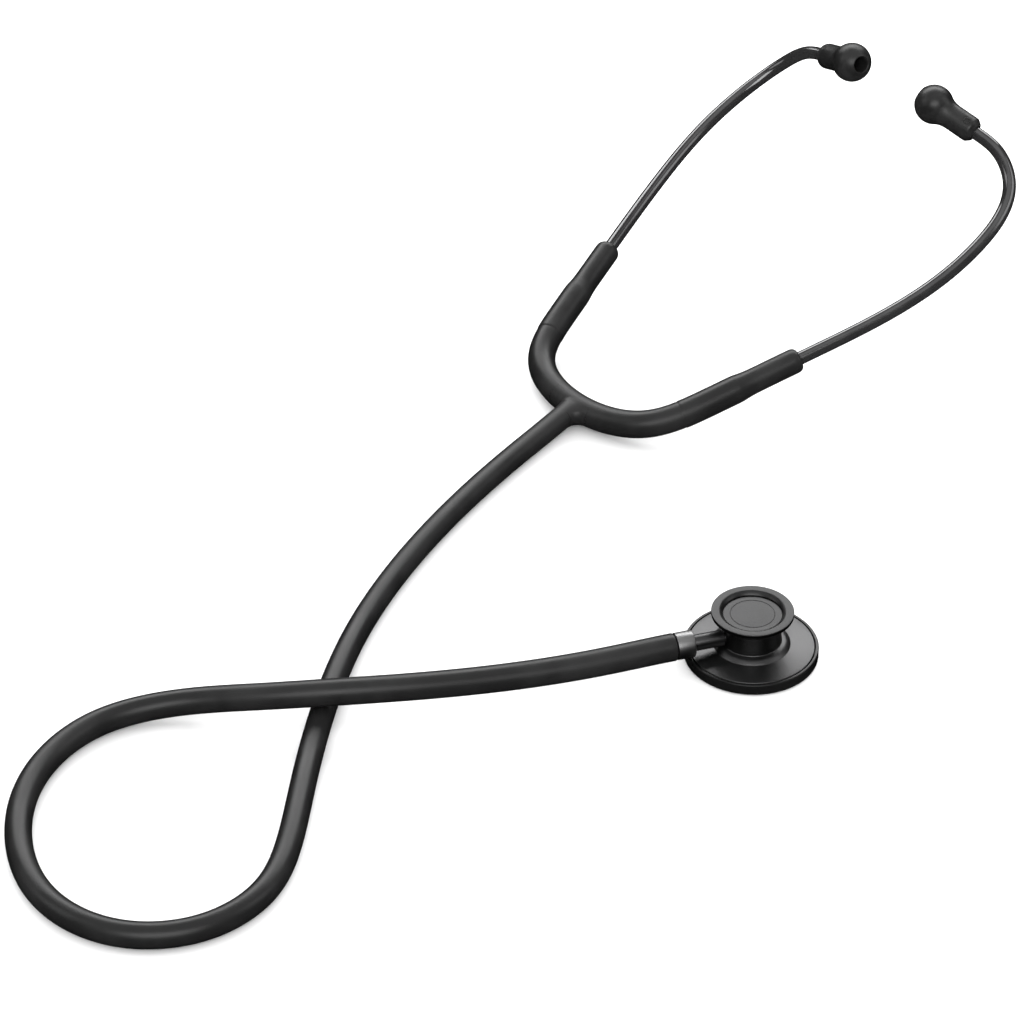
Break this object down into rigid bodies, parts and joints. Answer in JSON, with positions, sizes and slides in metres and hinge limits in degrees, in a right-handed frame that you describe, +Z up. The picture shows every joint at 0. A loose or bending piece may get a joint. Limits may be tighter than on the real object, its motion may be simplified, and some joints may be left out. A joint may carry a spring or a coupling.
{
  "type": "stethoscope",
  "caption": "Acoustic stethoscope with a two-sided swivelling chestpiece, one stiff hose, a moulded yoke with an inner spring, bent metal ear tubes and soft ball eartips.",
  "frame": {"origin": "centre of the large diaphragm's outer face, which rests on the table", "axes": "+Z up from the table, -X along the stem towards the hose; the headset lies to +Y"},
  "size_m": [0.4266, 0.3694, 0.0871],
  "materials": {
    "satin_metal": "satin black-grey plating over cast metal",
    "bright_metal": "satin grey plating",
    "black_rim": "glossy black",
    "diaphragm": "satin dark grey sheet",
    "hose_rubber": "satin black flexible vinyl",
    "seal_rubber": "matte black rubber",
    "tube_metal": "satin black coating on metal tube",
    "eartip_rubber": "matte black soft rubber",
    "spring_steel": "plain spring steel"
  },
  "bodies": {
    "tubing": {"hose": "hose_rubber", "yoke_junction": "hose_rubber", "left_yoke_bow": "hose_rubber", "right_yoke_bow": "hose_rubber", "leaf_spring": "spring_steel", "stem": "satin_metal", "stem_collar": "bright_metal", "snap_ring": "spring_steel", "stem_seal": "seal_rubber"},
    "chestpiece": {"chestpiece_body": "satin_metal", "large_diaphragm": "diaphragm", "large_rim": "black_rim", "small_diaphragm": "diaphragm", "small_ring": "satin_metal", "detent_ball": "spring_steel", "detent_spring": "spring_steel"},
    "left_arm": {"left_yoke_sleeve": "hose_rubber"},
    "right_arm": {"right_yoke_sleeve": "hose_rubber"},
    "left_tube": {"left_ear_tube": "tube_metal", "left_tip_ferrule": "tube_metal"},
    "right_tube": {"right_ear_tube": "tube_metal", "right_tip_ferrule": "tube_metal"},
    "left_tip": {"left_eartip": "eartip_rubber"},
    "right_tip": {"right_eartip": "eartip_rubber"}
  },
  "joints": [
    {"name": "chestpiece_swivel", "type": "hinge", "parent": "tubing", "child": "chestpiece", "pos_m": [0, 0, 0.0094], "axis": [1, 0, 0], "continuous": true},
    {"name": "left_arm_spread", "type": "hinge", "parent": "tubing", "child": "left_arm", "pos_m": [-0.01731, 0.18116, 0.00841], "axis": [-0.237, -0.1102, 0.9652], "range_deg": [-2.5, 22], "stiffness_Nm_per_rad": 2, "deforming": ["left_yoke_bow", "leaf_spring"]},
    {"name": "right_arm_spread", "type": "hinge", "parent": "tubing", "child": "right_arm", "pos_m": [0.00631, 0.13039, 0.00841], "axis": [0.237, 0.1102, -0.9652], "range_deg": [-2.5, 22], "stiffness_Nm_per_rad": 2, "deforming": ["right_yoke_bow", "leaf_spring"]},
    {"name": "left_tube_twist", "type": "hinge", "parent": "left_arm", "child": "left_tube", "pos_m": [0.02245, 0.22489, 0.02317], "axis": [0.7067, 0.6629, 0.2472], "range_deg": [-20, 20]},
    {"name": "right_tube_twist", "type": "hinge", "parent": "right_arm", "child": "right_tube", "pos_m": [0.06537, 0.13263, 0.02317], "axis": [-0.9623, -0.1136, -0.2472], "range_deg": [-20, 20]},
    {"name": "left_eartip_turn", "type": "hinge", "parent": "left_tube", "child": "left_tip", "pos_m": [0.12044, 0.25782, 0.07357], "axis": [0.202, -0.9278, 0.3136], "continuous": true},
    {"name": "right_eartip_turn", "type": "hinge", "parent": "right_tube", "child": "right_tip", "pos_m": [0.15368, 0.18638, 0.07357], "axis": [-0.5796, 0.7521, 0.3136], "continuous": true}
  ]
}
